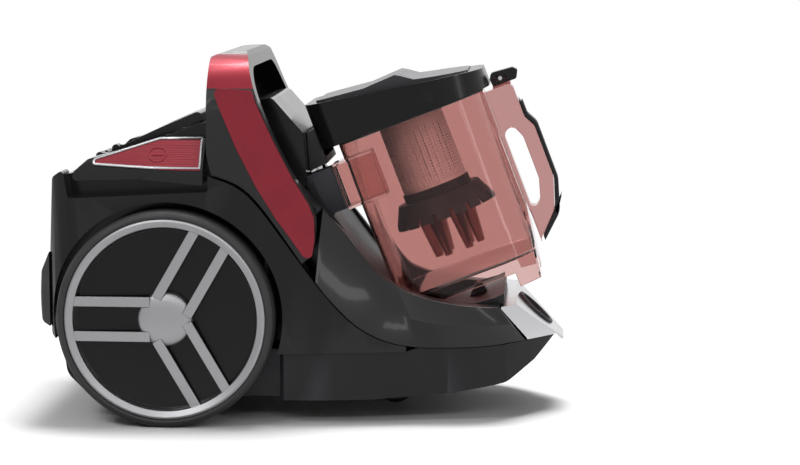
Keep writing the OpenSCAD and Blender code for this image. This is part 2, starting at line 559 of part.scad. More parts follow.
// Section of a pedal, across and up; the outer corner slopes.
module pedal_section() polygon([[pedal_in, 220], [pedal_out, 220], [pedal_out, 247], [111, 276], [pedal_in, 277]]);
module pedal() color([0.05, 0.05, 0.06]) difference() {
    intersection() {
        side(pedal_in, pedal_out) polygon(pedal_side);
        front(-230, -90) pedal_section();
    }
    difference() {
        intersection() {
            side(pedal_in + 2.5, pedal_out - 2.5) translate([0, -2.6]) offset(delta = -2.5) polygon(pedal_side);
            front(-230, -97) offset(delta = -2.5) pedal_section();
        }
        translate([pedal_hinge[0], 0, pedal_hinge[1]]) along_y(0, 200, 6);
    }
    translate([pedal_hinge[0], 0, pedal_hinge[1]]) along_y(0, deck_w + 28, 3 + run);
    face_way(gap);
}
face_side = fillet([[-201, 251, 3], [-198, 257, 4], [-120, 281, 10], [-95, 276, 2], [-95, 245, 2], [-168, 249, 40]], 4);
module face_way(room) intersection() {
    side(100, 150) offset(delta = room) polygon(face_side);
    front(-230, -90) polygon([[pedal_out + 3, 243.2 - room], [110.5 - room, 273 - room], [114 - 2 * room, 281], [pedal_out + 4, 252]]);
}
module pedal_face() intersection() {
    face_way(0);
    front(-230, -90) translate([0, 0.6]) pedal_section();
}
module power_pedal() other_side() pedal();
module power_pedal_face() color([0.5, 0.06, 0.1]) other_side() pedal_face();
module rewind_pedal() pedal();
module rewind_pedal_face() color([0.5, 0.06, 0.1]) pedal_face();

// ---- dust bin ----

inlet = [5.5, -70, 129];    // corner of the jar's inlet box
module jar_plan(t) polygon(fillet([[jar_back + t, -jar_w + t, 24], [jar_front - t, -jar_w + t, 44], [jar_front - t, jar_w - t, 44],
    [jar_back + t, jar_w - t, 24]], 8));
module jar_profile(t, z0) polygon([[jar_back + 9 + t, z0], [jar_front - 10 - t, z0], [jar_front - t, 70], [jar_front - t, jar_h + 1],
    [jar_back + t, jar_h + 1], [jar_back + t, 26]]);
module jar_body(t, z0, z1) intersection() {
    side(-jar_w - 1, jar_w + 1) jar_profile(t, 0);
    plan(z0, z1) jar_plan(t);
}
module jar() color([0.6, 0.25, 0.3, 0.5]) in_bin() difference() {
    union() {
        jar_body(0, 0, jar_h);
        translate(inlet) cube([40, 38, 47]);
    }
    difference() {
        jar_body(jar_t, foot_h + jar_t, jar_h + 1);
        translate(inlet) cube([40, 38, 47]);
    }
    jar_body(jar_t, -1, foot_h);
    translate(inlet + [-1, jar_t, jar_t]) cube([38, 38 - 2 * jar_t, 47 - 2 * jar_t]);
    translate(inlet + [20, jar_t, jar_t]) cube([30, 38 - 2 * jar_t, 47 - 2 * jar_t]);
    // arches in the skirt
    translate([45, -100, -1]) cube([90, 200, 15]);
    translate([jar_back, -14, -1]) cube([jar_d + 20, 28, 15]);
}
head_x = jar_front + gap;
module jar_handle() color([0.75, 0.6, 0.62, 0.6]) in_bin() {
    lever_cheeks();
    handle_body();
}
module handle_body() difference() {
    side(-12, 12) polygon(fillet([[head_x, 24, 0], [head_x, jar_h - 4, 0], [head_x + 28, jar_h - 4, 6], [head_x + 28, 150, 6],
        [head_x + 34, 138, 10], [head_x + 34, 84, 20], [head_x + 24, 54, 20], [head_x + 1, 30, 4]]));
    side(-20, 20) polygon(fillet([[head_x + 3, 58, 4], [head_x + 3, 142, 8], [head_x + 14, 146, 6], [head_x + 20, 132, 10],
        [head_x + 20, 88, 14], [head_x + 14, 68, 8]]));
    translate([head_x - 1, -13, 0]) cube([1.4, 26, 60]);
}
module lever_cheeks() difference() {
    both(9, 12) polygon(fillet([[head_x + 8, jar_h - 5, 0], [head_x + 27, jar_h - 5, 0], [head_x + 25, jar_h + 7, 5],
        [head_x + 12, jar_h + 7, 5]]));
    translate([lever_at[0], 0, lever_at[1]]) along_y(-20, 20, 2);
}
module handle_grip() color([0.06, 0.06, 0.06]) in_bin() side(-11, 11) polygon(concat(
    fillet([[head_x + 28 + gap, 166, 0], [head_x + 28 + gap, 150.5, 6], [head_x + 34 + gap, 138.5, 10],
        [head_x + 34 + gap, 83.5, 20], [head_x + 24 + gap, 53.5, 20], [head_x + 4, 32, 0]]),
    fillet([[head_x + 4, 27, 0], [head_x + 28, 49, 22], [head_x + 38, 81, 22], [head_x + 38, 141, 12],
        [head_x + 32, 152.5, 8], [head_x + 32, 166, 0]])));
lever_at = [head_x + 19, jar_h + 4];
module lever_pin() color([0.7, 0.7, 0.72]) in_bin() translate([lever_at[0], 0, lever_at[1]]) along_y(-12, 12, 2);
module release_lever() color([0.06, 0.06, 0.07]) in_bin() difference() {
    side(-8, 8) polygon(fillet([[head_x + 9.5, jar_h - 2, 1], [head_x + 34, jar_h - 2, 3], [head_x + 38, jar_h + 6, 2],
        [head_x + 34, jar_h + 10, 3], [head_x + 12, jar_h + 12, 4], [head_x + 8.5, jar_h + 6, 1]]));
    translate([lever_at[0], 0, lever_at[1]]) along_y(-12, 12, 2 + run);
}

// ---- lid and separator ----

lid_z = jar_h + 2;
function lid_edge(x) = lid_top - lid_slope * x / lid_l;   // height of the lid's side edge
module lid_plan(t) polygon(fillet([[t, -lid_w + t, 22], [lid_l - t, -lid_w + t, 50], [lid_l - t, lid_w - t, 50],
    [t, lid_w - t, 22]], 8));
module lid() color([0.07, 0.07, 0.08]) in_bin() difference() {
    union() {
        intersection() {
            side(-lid_w, lid_w) polygon([[0, lid_z], [lid_l, lid_z], [lid_l, lid_edge(lid_l)], [0, lid_top]]);
            lid_cut(0);
        }
        along_disc();
    }
    difference() {
        intersection() {
            side(-lid_w, lid_w) polygon([[0, lid_z - 1], [lid_l, lid_z - 1], [lid_l, lid_edge(lid_l) - 7], [0, lid_top - 7]]);
            lid_cut(2.5);
        }
        translate([mesh_x, 0, 0]) cylinder(r = mesh_r + 3, h = 300);
    }
    translate([mesh_x, 0, lid_z - 1]) cylinder(r = mesh_r - 3, h = 22);
    // way of the cleaned air to the filter box
    translate([-10, -40, lid_z + 4]) cube([mesh_x, 80, 16]);
    cover_way(gap);
}
module along_disc() translate([116, 0, lid_z + 14]) both(lid_w - 2, lid_w + 0.8) circle(r = 7.5);
module lid_cut(t) plan(0, 300) lid_plan(t);
module cover_way(room) intersection() {
    side(-lid_w, lid_w) polygon([[12 - room, lid_edge(12) - 2.5 - room], [lid_l - 14 + room, lid_edge(lid_l - 14) - 2.5 - room],
        [lid_l - 14 + room, 300], [12 - room, 300]]);
    plan(0, 310) offset(delta = room - 11) lid_plan(0);
}
module lid_cover() color([0.3, 0.3, 0.32]) in_bin() intersection() {
    cover_way(0);
    side(-lid_w, lid_w) polygon([[0, 180], [0, lid_edge(0) + 1.5], [60, lid_edge(60) + 5], [93, lid_edge(93) + 12],
        [98, lid_edge(98) + 10], [109, lid_edge(109) + 4], [125, lid_edge(125) + 3], [lid_l, lid_edge(lid_l) + 1], [lid_l, 180]]);
}
module lid_seal() color([0.1, 0.1, 0.1]) in_bin() difference() {
    plan(jar_h + gap, lid_z - gap) jar_plan(0);
    plan(jar_h - 1, lid_z + 1) jar_plan(3);
}
module mesh_tube() color([0.55, 0.55, 0.57]) in_bin() translate([mesh_x, 0, 0]) difference() {
    translate([0, 0, 118]) cylinder(r = mesh_r, h = lid_z - gap - 118);
    translate([0, 0, 110]) cylinder(r = mesh_r - 1.5, h = 100);
    for (a = [0:10:170]) rotate([0, 0, a]) translate([-50, -1, 126]) cube([100, 2, 52]);
}
module cyclone_plate() color([0.08, 0.08, 0.09]) in_bin() translate([mesh_x, 0, 0]) difference() {
    union() {
        translate([0, 0, 104]) cylinder(r = mesh_r + 8, h = 5);
        translate([0, 0, 104]) cylinder(r = mesh_r + 2, h = 14 - gap);
    }
    for (a = [0:360 / cones:359]) rotate([0, 0, a]) translate([cone_ring, 0, 90]) cylinder(r = cone_r + gap, h = 50);
    translate([0, 0, 90]) cylinder(r = 8, h = 50);
}
skirt_r = 52;
cone_ring = 22;
cone_r = 10;
module cyclone_cones() color([0.5, 0.12, 0.16]) in_bin() translate([mesh_x, 0, 0]) for (a = [0:360 / cones:359])
    rotate([0, 0, a]) translate([cone_ring, 0, 0]) rotate_extrude()
        polygon([[2.5, 48], [4, 48], [cone_r, 104], [cone_r, 117.5], [cone_r - 1.5, 117.5], [cone_r - 1.5, 104]]);
module dust_skirt() color([0.1, 0.1, 0.11]) in_bin() translate([mesh_x, 0, 0]) difference() {
    rotate_extrude() polygon([[mesh_r + 8 + gap, 109], [mesh_r + 8 + gap, 103], [skirt_r - 2, 86], [skirt_r, 86], [skirt_r, 89], [mesh_r + 10, 109]]);
    for (a = [0:20:340]) rotate([0, 0, a]) translate([skirt_r - 6, -2, 80]) cube([10, 4, 14]);
}

floor_pan();
motor_deck();
arch_cover_right();
arch_cover_left();
side_panel_right();
side_panel_left();
nose_cap();
hose_socket();
carry_handle();
handle_strip();
filter_box();
motor_filter();
filter_seal();
top_cover();
exhaust_filter();
motor_can();
fan_housing();
motor_mounts();
motor_shaft();
fan_wheel();
reel_frame();
reel_drum();
reel_spring();
cord_outlet();
inlet_duct();
duct_seal();
cradle();
bin_catch();
rear_bumper();
axle_right();
axle_left();
control_board();
pan_screws();
wheel_tyre_right();
wheel_disc_right();
wheel_spokes_right();
hub_cap_right();
wheel_tyre_left();
wheel_disc_left();
wheel_spokes_left();
hub_cap_left();
caster_fork();
caster_wheel();
caster_axle();
power_pedal();
power_pedal_face();
rewind_pedal();
rewind_pedal_face();
jar();
jar_handle();
handle_grip();
release_lever();
lever_pin();
lid();
lid_cover();
lid_seal();
mesh_tube();
cyclone_cones();
cyclone_plate();
dust_skirt();
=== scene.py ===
# %% [markdown]
# # Canister vacuum cleaner
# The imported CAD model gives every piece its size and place. It could be rebuilt in Blender, but then
# the two would drift apart. So this script keeps each CAD piece, softens its edges, gives it a
# finish, and adds only the thin details that the CAD leaves out.

# %% Load the frame
import math
import bpy
import bmesh
from mathutils import Vector, Matrix


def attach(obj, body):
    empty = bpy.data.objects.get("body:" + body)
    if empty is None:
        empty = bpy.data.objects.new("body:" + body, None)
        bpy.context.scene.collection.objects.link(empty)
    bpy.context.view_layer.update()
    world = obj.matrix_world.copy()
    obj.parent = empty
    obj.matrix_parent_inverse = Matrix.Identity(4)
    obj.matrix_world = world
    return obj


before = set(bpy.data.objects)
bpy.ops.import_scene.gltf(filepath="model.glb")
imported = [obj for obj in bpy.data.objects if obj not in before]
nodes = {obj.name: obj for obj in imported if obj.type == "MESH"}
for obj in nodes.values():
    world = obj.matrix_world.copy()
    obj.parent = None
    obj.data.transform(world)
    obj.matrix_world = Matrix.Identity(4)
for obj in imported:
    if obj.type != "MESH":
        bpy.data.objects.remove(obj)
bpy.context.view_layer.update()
MM = 0.001

# %% [markdown]
# The camera stands low on the machine's right side. A short lens close by would make the wheel an
# egg, so a long lens stands 2.4 m off: the wheel reads as a true circle and the nose points right.

# %% Camera
AZIMUTH, ELEVATION = math.radians(3.5), math.radians(7)
LENS_MM, SENSOR_MM = 106.6, 36
to_camera = Vector((math.sin(AZIMUTH) * math.cos(ELEVATION), -math.cos(AZIMUTH) * math.cos(ELEVATION),
                    math.sin(ELEVATION)))
camera_data = bpy.data.cameras.new("camera")
camera_data.lens = LENS_MM
camera_data.sensor_width = SENSOR_MM
camera_data.clip_end = 200
camera = bpy.data.objects.new("camera", camera_data)
camera.location = (0.2302, -2.3552, 0.4616)
camera.rotation_euler = to_camera.to_track_quat("Z", "Y").to_euler()
bpy.context.scene.collection.objects.link(camera)
bpy.context.scene.camera = camera
bpy.context.scene.view_settings.view_transform = "Standard"
print("camera at", tuple(round(v, 3) for v in camera.location))

# %% [markdown]
# Materials are node trees. They could be clicked together by hand, but a few helpers keep them
# short: one adds a node with its settings and links, and one turns an sRGB hex colour to the linear
# values that the shader wants. Each pattern reads object coordinates, so its scale is in metres.

# %% Material helpers


COLOURS = {"data_type": "RGBA"}    # makes a Mix node mix colours: 0 is the share, 6 and 7 the two


def rgb(code):
    """Linear colour, with alpha, of an sRGB hex code."""
    parts = [int(code[i:i + 2], 16) / 255 for i in (1, 3, 5)]
    return tuple(p / 12.92 if p <= 0.04045 else ((p + 0.055) / 1.055) ** 2.4 for p in parts) + (1,)


def add(tree, kind, settings=None, inputs=None, links=None):
    """Adds one node. inputs are values by socket, links are output sockets by socket."""
    made = tree.nodes.new("ShaderNode" + kind)
    for key, value in (settings or {}).items():
        setattr(made, key, value)
    for key, value in (inputs or {}).items():
        made.inputs[key].default_value = value
    for key, source in (links or {}).items():
        tree.links.new(source, made.inputs[key])
    return made


def start(name, colour, roughness, **sockets):
    """A new material with a Principled shader, and its tree, shader and object coordinates."""
    made = bpy.data.materials.new(name)
    made.use_nodes = True
    tree = made.node_tree
    shader = tree.nodes["Principled BSDF"]
    shader.inputs["Base Color"].default_value = rgb(colour)
    shader.inputs["Roughness"].default_value = roughness
    for key, value in sockets.items():
        shader.inputs[key.replace("_", " ")].default_value = value
    place = add(tree, "TexCoord").outputs["Object"]
    return made, tree, shader, place


def scratches(tree, shader, place, low, high, size_mm):
    """Uneven sheen: roughness wanders between low and high over patches of size_mm."""
    noise = add(tree, "TexNoise", inputs={"Scale": 1 / (size_mm * MM), "Detail": 4},
                links={"Vector": place})
    spread = add(tree, "MapRange", inputs={"To Min": low, "To Max": high},
                 links={"Value": noise.outputs["Fac"]})
    tree.links.new(spread.outputs["Result"], shader.inputs["Roughness"])


def relief(tree, shader, height, strength, depth_mm):
    """Fine relief of the surface from a height pattern."""
    bump = add(tree, "Bump", inputs={"Strength": strength, "Distance": depth_mm * MM},
               links={"Height": height})
    tree.links.new(bump.outputs["Normal"], shader.inputs["Normal"])


def paint_edge_highlight(tree, shader, colour, edge_highlight_colour, highlight_share):
    """Painted highlight: edges of a moulding are painted a little lighter than its faces, for the light
    they catch.
    """
    edges = add(tree, "NewGeometry")
    ramp = add(tree, "ValToRGB", links={"Fac": edges.outputs["Pointiness"]})
    ramp.color_ramp.elements[0].position = 0.5
    ramp.color_ramp.elements[1].position = 0.62
    ramp.color_ramp.elements[1].color = (highlight_share, highlight_share, highlight_share, 1)
    mix = add(tree, "Mix", COLOURS, {6: rgb(colour), 7: rgb(edge_highlight_colour)}, {0: ramp.outputs["Color"]})
    tree.links.new(mix.outputs[2], shader.inputs["Base Color"])


# %% [markdown]
# The casing is ABS. Most of it is moulded in a polished tool: near black, with a sharp sheen that
# wanders a little over each face, as flat plastic never is quite flat. The lower shell and the
# cradle come from an eroded tool, so they have a fine grain and a broad, weak shine. Two functions
# make the two, because each differs from its kin only in colour and sheen. The specular level is
# kept low, so that black stays black in a white room.
# Both also paint the edges a little lighter than the faces, as a painted highlight.

# %% Casing plastics


def gloss_abs(name, colour, low, high, coat):
    """ABS from a polished tool: the eye gets a clear, slightly wavy reflection."""
    made, tree, shader, place = start(name, colour, low, IOR=1.5, Specular_IOR_Level=0.16,
                                      Coat_Weight=coat, Coat_Roughness=0.08, Coat_IOR=1.25)
    scratches(tree, shader, place, low, high, 45)
    wave = add(tree, "TexNoise", inputs={"Scale": 1 / (60 * MM), "Detail": 1}, links={"Vector": place})
    relief(tree, shader, wave.outputs["Fac"], 0.12, 1.2)
    # Painted highlight: the edges get a lighter colour than the faces.
    paint_edge_highlight(tree, shader, colour, "#2A2A2D", 0.4)
    return made


def grained_abs(name, colour, roughness, grain_mm, depth):
    """Plastic from an eroded tool: the eye gets a soft sheen broken by grain."""
    made, tree, shader, place = start(name, colour, roughness, IOR=1.5, Specular_IOR_Level=0.2)
    scratches(tree, shader, place, roughness - 0.06, roughness + 0.1, 30)
    grain = add(tree, "TexNoise", inputs={"Scale": 1 / (grain_mm * MM), "Detail": 3},
                links={"Vector": place})
    relief(tree, shader, grain.outputs["Fac"], depth, 0.15)
    # Painted highlight: the edges get a lighter colour than the faces.
    paint_edge_highlight(tree, shader, colour, "#45454A", 0.5)
    return made


black_gloss = gloss_abs("ABS black polished", "#070708", 0.16, 0.28, 0.45)
lid_black = gloss_abs("ABS black lid", "#0B0B0C", 0.2, 0.34, 0.15)
panel_grey = gloss_abs("ABS dark grey satin", "#1E1C1D", 0.26, 0.36, 0.6)
black_satin = grained_abs("ABS black eroded", "#0C0C0D", 0.42, 1.2, 0.25)
spoke_black = gloss_abs("ABS black wheel disc", "#09090A", 0.18, 0.3, 0.2)
inner_plastic = grained_abs("polypropylene dark grey", "#26262A", 0.5, 1.5, 0.2)
cover_grey = grained_abs("ABS grey lid insert", "#3A3A3D", 0.36, 1.0, 0.3)
print("casing plastics made")

# %% [markdown]
# Bright trim is plated or metal-painted plastic, and the inner metal is turned or cast. Metal takes
# its look from what it mirrors, so each differs in how blurred that mirror is. Paint has flakes far
# finer than the render shows, so they are drawn at 0.6 mm. The nose is plated: it mirrors the room.
# The screen is only half metal, because its real holes, too fine to draw, dull it.

# %% Bright trim


def bright(name, colour, roughness, flake_mm, depth, metal=1.0):
    """Metal or metal paint: the eye gets a blurred mirror with a fine sparkle."""
    made, tree, shader, place = start(name, colour, roughness, Metallic=metal)
    scratches(tree, shader, place, roughness, roughness + 0.12, 25)
    flake = add(tree, "TexNoise", inputs={"Scale": 1 / (flake_mm * MM), "Detail": 2},
                links={"Vector": place})
    relief(tree, shader, flake.outputs["Fac"], depth, 0.08)
    return made


wheel_silver = bright("silver paint satin", "#8E8E90", 0.34, 0.6, 0.35)
nose_chrome = bright("chrome plating", "#BDBDC0", 0.13, 8, 0.05)
steel = bright("steel turned", "#A9AAAD", 0.3, 1.0, 0.3)
alloy = bright("aluminium cast", "#B8BABD", 0.4, 1.2, 0.4)
screen_steel = bright("steel screen", "#D8D2D0", 0.45, 0.8, 0.2, 0.45)
print("bright trim made")

# %% [markdown]
# The red strip and pedal plates are metallic lacquer under clear coat: the base is a dark red and
# the coat adds a pale pink shine where it catches a lamp. The pedal plates also have long shallow
# lines along them, like the figure of timber. Lines drawn in geometry would be too many faces, so a
# wave pattern, stretched along X and bent a little by noise, drives both their colour and relief.

# %% Red lacquer


LINES = {"Scale": 150.0, "Distortion": 3.0, "Detail": 2.0, "Detail Scale": 1.2}


def red_lacquer(name, low, high, lined):
    """Metallic lacquer: the eye gets a deep red that flares to pink."""
    made, tree, shader, place = start(name, low, 0.34, Metallic=0.5, Specular_IOR_Level=0.3,
                                      Coat_Weight=0.35, Coat_Roughness=0.15, Coat_IOR=1.4)
    flow = add(tree, "TexNoise", inputs={"Scale": 1 / (25 * MM), "Detail": 3}, links={"Vector": place})
    tone = add(tree, "Mix", COLOURS, {6: rgb(low), 7: rgb(high)}, {0: flow.outputs["Fac"]})
    colour = tone.outputs[2]
    if lined:
        stretch = add(tree, "Mapping", inputs={"Scale": (0.12, 1.0, 1.0)}, links={"Vector": place})
        lines = add(tree, "TexWave", {"bands_direction": "Z"}, LINES, {"Vector": stretch.outputs["Vector"]})
        depth = add(tree, "MapRange", inputs={"To Min": 0.0, "To Max": 0.55},
                    links={"Value": lines.outputs["Fac"]})
        dark = add(tree, "Mix", COLOURS, {7: rgb("#4E0D17")}, {0: depth.outputs["Result"], 6: colour})
        colour = dark.outputs[2]
        relief(tree, shader, lines.outputs["Fac"], 0.25, 0.2)
    tree.links.new(colour, shader.inputs["Base Color"])
    return made


strip_red = red_lacquer("lacquer red strip", "#6E0F1D", "#86182A", False)
pedal_red = red_lacquer("lacquer red pedal", "#6E101D", "#841A28", True)
print("red lacquer made")

# %% [markdown]
# The handle is one black arch whose outer faces turn red over the shoulder, above the end of the red
# strip. A new piece could carry that red, but paint on the same moulding has no edge of its own, so
# the material is masked instead: by height, and by how far the face looks sideways, measured as its
# distance from the middle times its sideways normal. So the paint stays off the flat top and inside.

# %% Handle paint
PAINT_FROM = 0.3235             # m above the floor
PAINT_EDGE = (0.02, 0.026)      # the mask fades in between these
handle_paint = strip_red.copy()
handle_paint.name = "ABS black with red shoulder"
tree = handle_paint.node_tree
paint = tree.nodes["Principled BSDF"]
red_colour = paint.inputs["Base Color"].links[0].from_socket
point = add(tree, "SeparateXYZ", links={0: add(tree, "TexCoord").outputs["Object"]})
facing = add(tree, "SeparateXYZ", links={0: add(tree, "NewGeometry").outputs["Normal"]})
outward = add(tree, "Math", {"operation": "MULTIPLY"},
              links={0: point.outputs["Y"], 1: facing.outputs["Y"]})
is_side = add(tree, "MapRange", inputs={"From Min": PAINT_EDGE[0], "From Max": PAINT_EDGE[1]},
              links={"Value": outward.outputs[0]})
is_high = add(tree, "Math", {"operation": "GREATER_THAN"}, {1: PAINT_FROM}, {0: point.outputs["Z"]})
mask = add(tree, "Math", {"operation": "MULTIPLY"},
           links={0: is_high.outputs[0], 1: is_side.outputs["Result"]})
colour = add(tree, "Mix", COLOURS, {6: rgb("#070708")}, {0: mask.outputs[0], 7: red_colour})
tree.links.new(colour.outputs[2], paint.inputs["Base Color"])
lacquer = add(tree, "Math", {"operation": "MULTIPLY"}, {1: 0.5}, {0: mask.outputs[0]})
tree.links.new(lacquer.outputs[0], paint.inputs["Metallic"])
paint.inputs["Specular IOR Level"].default_value = 0.25
print("handle paint starts at", PAINT_FROM, "m")

# %% [markdown]
# The jar is moulded polycarbonate with a rose tint. Its walls are real, 2.5 mm thick, so light is
# bent and tinted at each face. The IOR is below the real 1.58, because four faces at the full value
# hide what stands inside. Blender's lamps don't reach through bent glass without slow caustics, so
# rays towards a lamp see a nearly clear sheet instead: that lights the screen and the cones.

# %% Clear plastics


def clear(name, colour, roughness):
    """Tinted clear plastic: the eye gets edges that darken and a view of the inside."""
    made, tree, shader, place = start(name, colour, roughness, IOR=1.25, Transmission_Weight=1.0)
    scratches(tree, shader, place, roughness, roughness + 0.07, 40)
    flow = add(tree, "TexNoise", inputs={"Scale": 1 / (50 * MM), "Detail": 1}, links={"Vector": place})
    relief(tree, shader, flow.outputs["Fac"], 0.15, 0.5)
    rays = add(tree, "LightPath")
    through = add(tree, "BsdfTransparent", inputs={"Color": rgb("#F6E9E7")})
    lit = add(tree, "MixShader", links={0: rays.outputs["Is Shadow Ray"], 1: shader.outputs[0],
                                        2: through.outputs[0]})
    tree.links.new(lit.outputs[0], tree.nodes["Material Output"].inputs["Surface"])
    return made


jar_rose = clear("polycarbonate rose clear", "#D6B0AC", 0.03)
handle_clear = clear("polycarbonate rose deep", "#B98A88", 0.05)
cone_rose = clear("polycarbonate rose smoked", "#B58E8C", 0.16)
print("clear plastics made")

# %% [markdown]
# Rubber is matt, with a fine grain from its mould and dull patches. The filters are pressed
# polyester felt: a cell pattern of 1.5 mm stands for fibres too fine to show. The circuit board is
# green solder lacquer, which shares the grained plastic's recipe.

# %% Rubber, filters and board


def rubber(name, colour, grain_mm, depth):
    """Moulded rubber: the eye gets a dark surface with hardly any shine."""
    made, tree, shader, place = start(name, colour, 0.6, IOR=1.5)
    scratches(tree, shader, place, 0.5, 0.75, 20)
    grain = add(tree, "TexNoise", inputs={"Scale": 1 / (grain_mm * MM), "Detail": 4},
                links={"Vector": place})
    relief(tree, shader, grain.outputs["Fac"], depth, 0.3)
    return made


def felt(name, colour):
    """Pressed felt: the eye gets a pale, soft surface with small shadows, partly from its relief and partly
    painted shade in its colour.
    """
    made, tree, shader, place = start(name, colour, 0.95, Sheen_Weight=0.3)
    fibres = add(tree, "TexVoronoi", inputs={"Scale": 1 / (1.5 * MM)}, links={"Vector": place})
    relief(tree, shader, fibres.outputs["Distance"], 0.6, 0.5)
    # Painted shade: the colour darkens towards #9C9A92 inside each fibre cell.
    shade = add(tree, "MapRange", inputs={"To Min": 0.75, "To Max": 1.0},
                links={"Value": fibres.outputs["Distance"]})
    tone = add(tree, "Mix", COLOURS, {6: rgb("#9C9A92"), 7: rgb(colour)}, {0: shade.outputs["Result"]})
    tree.links.new(tone.outputs[2], shader.inputs["Base Color"])
    return made


tyre_rubber = rubber("rubber tyre", "#131314", 1.5, 0.35)
soft_rubber = rubber("rubber moulded", "#1A1A1B", 2.0, 0.3)
filter_felt = felt("polyester filter felt", "#E4E2DA")
board_green = grained_abs("circuit board lacquer", "#0F5A2C", 0.35, 2.0, 0.2)
print("materials:", len(bpy.data.materials))

# %% [markdown]
# A moulding has no knife edges: each gets a small radius. Rounding could be modelled in CAD, but the
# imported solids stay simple, so modifiers do it here and the CAD mesh isn't touched. A weld joins the
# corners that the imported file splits, a bevel rounds each edge sharper than 32 degrees, and weighted
# normals keep the flats flat.

# %% Edge radius
WELD_REACH = 0.00002
SHARP_EDGE = math.radians(32)
EDGE_STEPS = 3


def finish(name, material, radius_mm):
    """Gives a CAD piece its material, its edge radius and smooth shading."""
    piece = nodes[name]
    piece.data.materials.clear()
    piece.data.materials.append(material)
    split_normals = piece.data.attributes.get("custom_normal")
    if split_normals:
        piece.data.attributes.remove(split_normals)
    piece.data.shade_smooth()
    weld = piece.modifiers.new("join corners", "WELD")
    weld.merge_threshold = WELD_REACH
    if radius_mm:
        soft = piece.modifiers.new("edge radius", "BEVEL")
        soft.width = radius_mm * MM
        soft.segments = EDGE_STEPS
        soft.limit_method = "ANGLE"
        soft.angle_limit = SHARP_EDGE
        soft.use_clamp_overlap = True
        soft.miter_outer = "MITER_ARC"
    even = piece.modifiers.new("even shading", "WEIGHTED_NORMAL")
    even.keep_sharp = False


# %% [markdown]
# One table says which finish each piece has, and its edge radius in mm. Big shells have 2 to 3.5 mm,
# small mouldings about 0.8 mm, and turned metal hardly any. A radius of 0 leaves the edge sharp.

# %% Finish the CAD pieces
look = {
    black_gloss: {"motor_deck": 3, "arch_cover_right": 2, "arch_cover_left": 2, "filter_box": 2.5,
                  "top_cover": 1, "power_pedal": 1.2, "rewind_pedal": 1.2, "release_lever": 1},
    handle_paint: {"carry_handle": 3.5},
    lid_black: {"lid": 1.8},
    cover_grey: {"lid_cover": 1.5},
    black_satin: {"floor_pan": 3, "cradle": 0.8, "caster_fork": 0.6, "handle_grip": 1.2, "bin_catch": 0.8},
    spoke_black: {"wheel_disc_right": 0.8, "wheel_disc_left": 0.8},
    panel_grey: {"side_panel_right": 0.6, "side_panel_left": 0.6},
    nose_chrome: {"nose_cap": 1.5},
    wheel_silver: {"wheel_spokes_right": 0.8, "wheel_spokes_left": 0.8, "hub_cap_right": 0.8,
                   "hub_cap_left": 0.8},
    strip_red: {"handle_strip": 0.7},
    pedal_red: {"power_pedal_face": 0.8, "rewind_pedal_face": 0.8},
    jar_rose: {"jar": 0.7},
    handle_clear: {"jar_handle": 1.2},
    cone_rose: {"cyclone_cones": 0.2},
    inner_plastic: {"hose_socket": 0.8, "fan_housing": 0.5, "reel_frame": 0.5, "reel_drum": 0.5,
                    "inlet_duct": 0.8, "cyclone_plate": 0.6, "dust_skirt": 0.4},
    soft_rubber: {"filter_seal": 0.5, "motor_mounts": 1, "duct_seal": 0.3, "lid_seal": 0.3,
                  "cord_outlet": 0.8, "rear_bumper": 1.5, "caster_wheel": 0.8},
    tyre_rubber: {"wheel_tyre_right": 0.6, "wheel_tyre_left": 0.6},
    steel: {"motor_can": 0.6, "motor_shaft": 0.4, "reel_spring": 0, "axle_right": 0.5, "axle_left": 0.5,
            "pan_screws": 0.3, "caster_axle": 0.3, "lever_pin": 0.3},
    screen_steel: {"mesh_tube": 0},
    alloy: {"fan_wheel": 0.3},
    filter_felt: {"motor_filter": 0.5, "exhaust_filter": 0.5},
    board_green: {"control_board": 0.2},
}
for material, members in look.items():
    for name, radius_mm in members.items():
        finish(name, material, radius_mm)
missing = set(nodes) - {n for members in look.values() for n in members}
print("finished", len(nodes) - len(missing), "nodes; without finish:", sorted(missing))

# %% [markdown]
# The docked bin leans back, so its pieces are placed in its own frame and then turned. Every new
# piece rides on a body and takes a material slot, and one helper does both.

# %% New pieces: helpers
TILT = math.radians(21)             # the docked bin's lean
BIN_DOCK = Vector((82, 0, 80))      # the bin frame's origin, mm


def in_bin(x, y, z):
    """World place of a point given in the bin's own tilted frame, in mm."""
    turned = Matrix.Rotation(-TILT, 3, "Y") @ Vector((x, y, z))
    return (BIN_DOCK + turned) * MM


def new_piece(name, build, body, material, smooth):
    """Turns finished bmesh work into a piece that rides on a body."""
    mesh = bpy.data.meshes.new(name)
    build.to_mesh(mesh)
    build.free()
    piece = bpy.data.objects.new(name, mesh)
    bpy.context.scene.collection.objects.link(piece)
    mesh.materials.append(material)
    if smooth:
        mesh.shade_smooth()
    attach(piece, body)
    return piece


# %% [markdown]
# The separator's screen is sheet steel full of small round holes. The real holes are under a
# millimetre; they are drawn about 3 mm apart so that they show. A bump or an alpha mask would look
# flat from the side, so the holes are real: each cell of the sheet is a ring of eight faces around
# one hole, rolled round the tube, and Solidify gives the sheet its thickness.

# %% Perforated screen
HOLES_ROUND, HOLES_UP, HOLE_R = 66, 22, 0.95
SCREEN_X, SCREEN_R, SCREEN_LOW, SCREEN_HIGH = 88, 33.5, 121.0, 187.0
SHEET_MM = 0.35
CORNERS = 8
pitch_round = 2 * math.pi * SCREEN_R / HOLES_ROUND
pitch_up = (SCREEN_HIGH - SCREEN_LOW) / HOLES_UP
build = bmesh.new()


def on_screen(u, v):
    """A corner of the sheet, u mm round the tube and v mm up it."""
    angle = u / SCREEN_R
    return build.verts.new(in_bin(SCREEN_X + SCREEN_R * math.cos(angle), SCREEN_R * math.sin(angle),
                                  SCREEN_LOW + v))


